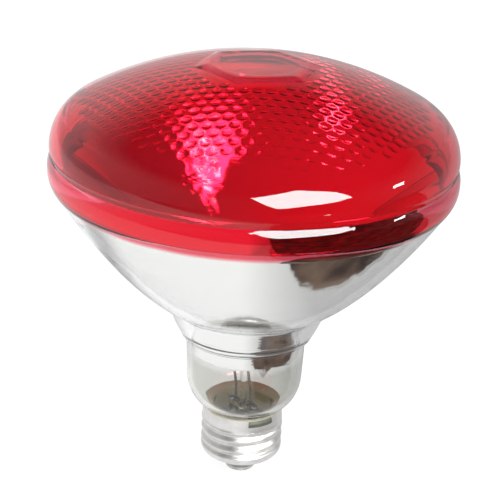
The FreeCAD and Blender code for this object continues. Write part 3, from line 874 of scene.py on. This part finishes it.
turned = add(tree, "ShaderNodeMapping", Rotation=(0.0, 0.0, SHAPE_TURN), Location=SHAPE_PLACE)
feed(tree, turned.inputs["Vector"], position)
shape = parts_of(tree, turned.outputs["Vector"])
curve = add(tree, "ShaderNodeCombineXYZ", Y=SHAPE_START)
feed(tree, curve.inputs["X"], sums(tree, "MULTIPLY", shape["Y"], SHAPE_SPREAD))
inside = sums(tree, "SUBTRACT", shape["X"], length(tree, curve.outputs[0]))
wander = ramp(tree, noise(tree, position, EDGE_SCALE, EDGE_DETAIL), 0.0, 1.0, -EDGE_WANDER, EDGE_WANDER)
brown_mask = ramp(tree, sums(tree, "ADD", inside, wander), *EDGE_SOFT)
brown_share = ramp(tree, noise(tree, position, BROWN_SCALE, BROWN_DETAIL), *BROWN_RANGE)
browns = blend(tree, brown_share, BROWN_DARK, BROWN_LIGHT)
print("brown shape starts about", round((SHAPE_START - SHAPE_PLACE[0]) / MM), "mm from the lamp's axis")

# %% The floor's surface: white for the camera, the pattern for gloss and glass
FRONT = (0.36, -0.93, 0.0)
FRONT_FADE = (0.30, 0.42)
FRONT_LEAST = 0.08
CAMERA_GLOW = 0.93
SHADOW_GREY = (0.16, 0.16, 0.16, 1)
FLOOR_GREY = (0.8, 0.8, 0.8, 1)

# The far floor in front is dark too, but only outer gloss shows it
front_light = ramp(tree, along(tree, position, FRONT), *FRONT_FADE, 1.0, FRONT_LEAST)
outer_gloss = sums(tree, "SUBTRACT", path["Is Glossy Ray"], path["Transmission Depth"], clamp=True)
dimmed = blend(tree, outer_gloss, 1.0, front_light, kind="FLOAT")
reflected = add(tree, "ShaderNodeEmission")
feed(tree, reflected.inputs["Color"],
     blend(tree, brown_mask, sums(tree, "MULTIPLY", brightness, dimmed), browns))
# For the camera a white glow takes most of the surface, and a weak diffuse part keeps the shadow
for_camera = add(tree, "ShaderNodeAddShader")
feed(tree, for_camera.inputs[0], add(tree, "ShaderNodeEmission", Strength=CAMERA_GLOW).outputs[0])
feed(tree, for_camera.inputs[1], add(tree, "ShaderNodeBsdfDiffuse", Color=SHADOW_GREY).outputs[0])
for_rest = add(tree, "ShaderNodeBsdfDiffuse", Color=FLOOR_GREY).outputs[0]
shiny = sums(tree, "MAXIMUM", path["Is Glossy Ray"], path["Is Transmission Ray"])
unseen = choose(tree, shiny, for_rest, reflected.outputs[0])
feed(tree, floor_surface, choose(tree, path["Is Camera Ray"], unseen, for_camera.outputs[0]))
floor.data.materials.append(floor_white)
print("floor material with", len(tree.nodes), "nodes")

# %% [markdown]
# The world stands for the room. A photograph of a room on a sphere would do it, but this scene uses
# no pictures. So two smooth fields of light stand in for it: one for what gloss shows, with pale
# walls low at the back and left, and one for what glass shows. Every other ray sees an even grey,
# which lights the lamp softly from all sides, and the camera sees plain white.

# %% World: the room as gloss shows it
ROOM_SIDE = (-0.2, 0.42, 0.0)
ROOM_LEVEL = 0.47
WALL_LEAN = 0.27
WALL_TOP = (0.33, 0.62)
ROOM_LEAST = 0.015

world = bpy.data.worlds.new("studio")
bpy.context.scene.world = world
world.use_nodes = True
tree = world.node_tree
tree.nodes.clear()
path = add(tree, "ShaderNodeLightPath").outputs
direction = coordinates(tree, "Generated")
parts = parts_of(tree, direction)
# White walls low at the back and left, nothing bright above or in front
amount = sums(tree, "ADD", along(tree, direction, ROOM_SIDE), ROOM_LEVEL, clamp=True)
to_left = sums(tree, "MINIMUM", parts["X"], 0.0)
leaning = sums(tree, "MULTIPLY_ADD", to_left, WALL_LEAN, parts["Z"])
below_top = ramp(tree, leaning, *WALL_TOP, 1.0, 0.0)
gloss_light = sums(tree, "MULTIPLY_ADD", amount, below_top, ROOM_LEAST)
print("room for gloss with", len(tree.nodes), "nodes")

# %% World: the room as glass shows it, and the rest
LOW_RIGHT = (0.857, -0.515, 0.0)
LOW_FADE = (0.68, 0.78)
LOW_RANGE = (0.9, 0.12)
HIGH_FADE = (0.15, 0.35)
HIGH_SIDE = (-0.48, 0.05, 0.27)
HIGH_LEVEL = 0.56
ROOM_GREY = (0.8, 0.8, 0.8)
WHITE = (1, 1, 1)


def background(tree, colour, strength=1.0):
    """The world's light for one kind of ray."""
    node = add(tree, "ShaderNodeBackground")
    feed(tree, node.inputs["Color"], colour)
    feed(tree, node.inputs["Strength"], strength)
    return node.outputs[0]


# Dark only low down towards the right of the front
low_light = ramp(tree, along(tree, direction, LOW_RIGHT), *LOW_FADE, *LOW_RANGE)
high_light = sums(tree, "ADD", along(tree, direction, HIGH_SIDE), HIGH_LEVEL)
glass_light = blend(tree, ramp(tree, parts["Z"], *HIGH_FADE), low_light, high_light, kind="FLOAT")
plain = choose(tree, path["Is Camera Ray"], background(tree, ROOM_GREY), background(tree, WHITE))
for_gloss = background(tree, ROOM_GREY, gloss_light)
for_glass = background(tree, ROOM_GREY, glass_light)
with_gloss = choose(tree, path["Is Glossy Ray"], plain, for_gloss)
with_glass = choose(tree, path["Is Transmission Ray"], with_gloss, for_glass)
feed(tree, add(tree, "ShaderNodeOutputWorld").inputs["Surface"], with_glass)
print("world with", len(tree.nodes), "nodes")

# %% [markdown]
# The room's window and its small lamps show as sharp shapes in the dome, and once more as a bright
# patch that the mirror throws back through the pebbles. Area lamps could show there, but only as
# rectangles. So each light is a flat board with its own outline, hung far off and stretched so that
# it has that outline from the front of the lens. Light Path keeps the boards apart: outer gloss has
# gone through no wall of glass, and a ray that comes out of the lens has gone through several.

# %% Light boards
NO_WALL = 0.5
ENDLESS = 10.0


def board(name, points, strength, for_glass, colour, longest_ray):
    """A flat glowing board. It shows in the outer gloss, or only to rays that come out of the lens."""
    shape = bmesh.new()
    for point in points:
        bmesh.ops.create_vert(shape, co=point)
    bmesh.ops.contextual_create(shape, geom=shape.verts[:])
    made = placed(name, mesh_from(shape, name))
    glowing, tree, surface = new_glowing_material(name)
    glow = add(tree, "ShaderNodeEmission", Color=(*colour, 1), Strength=strength)
    empty = add(tree, "ShaderNodeBsdfTransparent")
    path = add(tree, "ShaderNodeLightPath").outputs
    test, walls = ("GREATER_THAN", MANY_WALLS) if for_glass else ("LESS_THAN", NO_WALL)
    right_walls = sums(tree, test, path["Transmission Depth"], walls)
    near_enough = sums(tree, "LESS_THAN", path["Ray Length"], longest_ray)
    shown = sums(tree, "MULTIPLY", right_walls, near_enough)
    feed(tree, surface, choose(tree, shown, empty.outputs[0], glow.outputs[0]))
    made.data.materials.append(glowing)
    made.visible_camera = False
    made.visible_diffuse = False
    made.visible_shadow = False
    made.visible_glossy = not for_glass
    made.visible_transmission = for_glass


# %% Boards given by what the lens sees
CARD_FAR = 2.5
LENS_FRONT = Vector((0.0, -0.045, 0.118))
RAY_MARGIN = 0.02


def facing_direction(azimuth, elevation):
    """A direction, given by its angle round the lamp and its angle above the floor."""
    azimuth, elevation = math.radians(azimuth), math.radians(elevation)
    flat = math.cos(elevation)
    return Vector((flat * math.cos(azimuth), flat * math.sin(azimuth), math.sin(elevation)))


def card(name, corners, strength, distance=CARD_FAR, for_glass=False, colour=WHITE):
    """A board whose corners are given as (azimuth, elevation), seen from the front of the lens."""
    directions = [facing_direction(*corner) for corner in corners]
    middle = sum(directions, Vector()).normalized()
    lengths = [distance / direction.dot(middle) for direction in directions]
    points = [LENS_FRONT + direction * reach for direction, reach in zip(directions, lengths)]
    # Rays from the neck are longer than those from the lens, so they can be left out
    longest_ray = max(lengths) + RAY_MARGIN if for_glass else ENDLESS
    board(name, points, strength, for_glass, colour, longest_ray)


print("boards are aimed at", tuple(round(v, 3) for v in LENS_FRONT))

# %% The window, in the gloss of the dome and through the glass
WINDOW_OUTLINE = (
    (-90.8, 32.7), (-83.7, 20.7), (-76.8, 10.3), (-62.1, 14.9), (-46.3, 17.2), (-33.3, 21.5),
    (-35.7, 30.0), (-37.6, 37.2), (-59.0, 50.1), (-76.1, 42.0),
)
WINDOW_INSIDE = (
    (-26, 43.5), (-30, 47), (-32, 50), (-31, 54), (-36, 57), (-50, 56), (-62, 55), (-73, 53),
    (-77, 49), (-73, 46), (-58, 43.5), (-41, 43),
)
# Ruby glass lets very little but red through, so the light behind it is low in red to come out white
INSIDE_COLOUR = (0.15, 0.75, 0.8)
WINDOW_STRENGTH = 21.0
INSIDE_STRENGTH = 80.0
card("window_card", WINDOW_OUTLINE, WINDOW_STRENGTH)
card("window_inside", WINDOW_INSIDE, INSIDE_STRENGTH, for_glass=True, colour=INSIDE_COLOUR)
print("window cards with", len(WINDOW_OUTLINE), "and", len(WINDOW_INSIDE), "corners")

# %% The bright cores of the patch, and two small lights
CORES = (("core_left", -52, 48.5), ("core_middle", -45, 48), ("core_right", -40, 51.5))
CORE_CORNERS = ((-2.5, -1.5), (2.5, -1), (2, 1.5), (-2, 1))
CORE_COLOUR = (0.01, 1.0, 0.36)
CORE_STRENGTH = 900.0
CORE_DISTANCE = 2.4
SIDE_LIGHT = ((-8, 16.8), (1, 17.2), (3, 20.6), (-5, 21.2))
SIDE_STRENGTH = 30.0
LOW_LIGHT = ((-51.5, -7.6), (-48, -7.6), (-48, -7.0), (-51.5, -7.0))
LOW_STRENGTH = 25.0
LOW_DISTANCE = 0.8
for name, azimuth, elevation in CORES:
    corners = [(azimuth + right, elevation + up) for right, up in CORE_CORNERS]
    card(name, corners, CORE_STRENGTH, CORE_DISTANCE, for_glass=True, colour=CORE_COLOUR)
card("side_light", SIDE_LIGHT, SIDE_STRENGTH)
card("low_light", LOW_LIGHT, LOW_STRENGTH, LOW_DISTANCE)
print(len(CORES) + 2, "small lights")

# %% [markdown]
# One big soft lamp gives the cap and the cement a lit side and a shaded one, and lays a faint shadow
# on the floor. A sun would draw that shadow hard. Gloss and glass don't see this lamp, because the
# boards already say what is reflected.

# %% Soft lamp
KEY_SIZE = 0.9
KEY_POWER = 9.0
KEY_PLACE = Vector((0.5, -0.6, 0.9))
KEY_TARGET = Vector((0, 0, 0.07))
key_data = bpy.data.lights.new("key_lamp", "AREA")
key_data.shape = "RECTANGLE"
key_data.size = KEY_SIZE
key_data.size_y = KEY_SIZE
key_data.energy = KEY_POWER
key = placed("key_lamp", key_data)
key.location = KEY_PLACE
key.rotation_euler = (KEY_TARGET - KEY_PLACE).to_track_quat("-Z", "Y").to_euler()
key.visible_glossy = False
key.visible_transmission = False
print("key lamp of", KEY_POWER, "W")
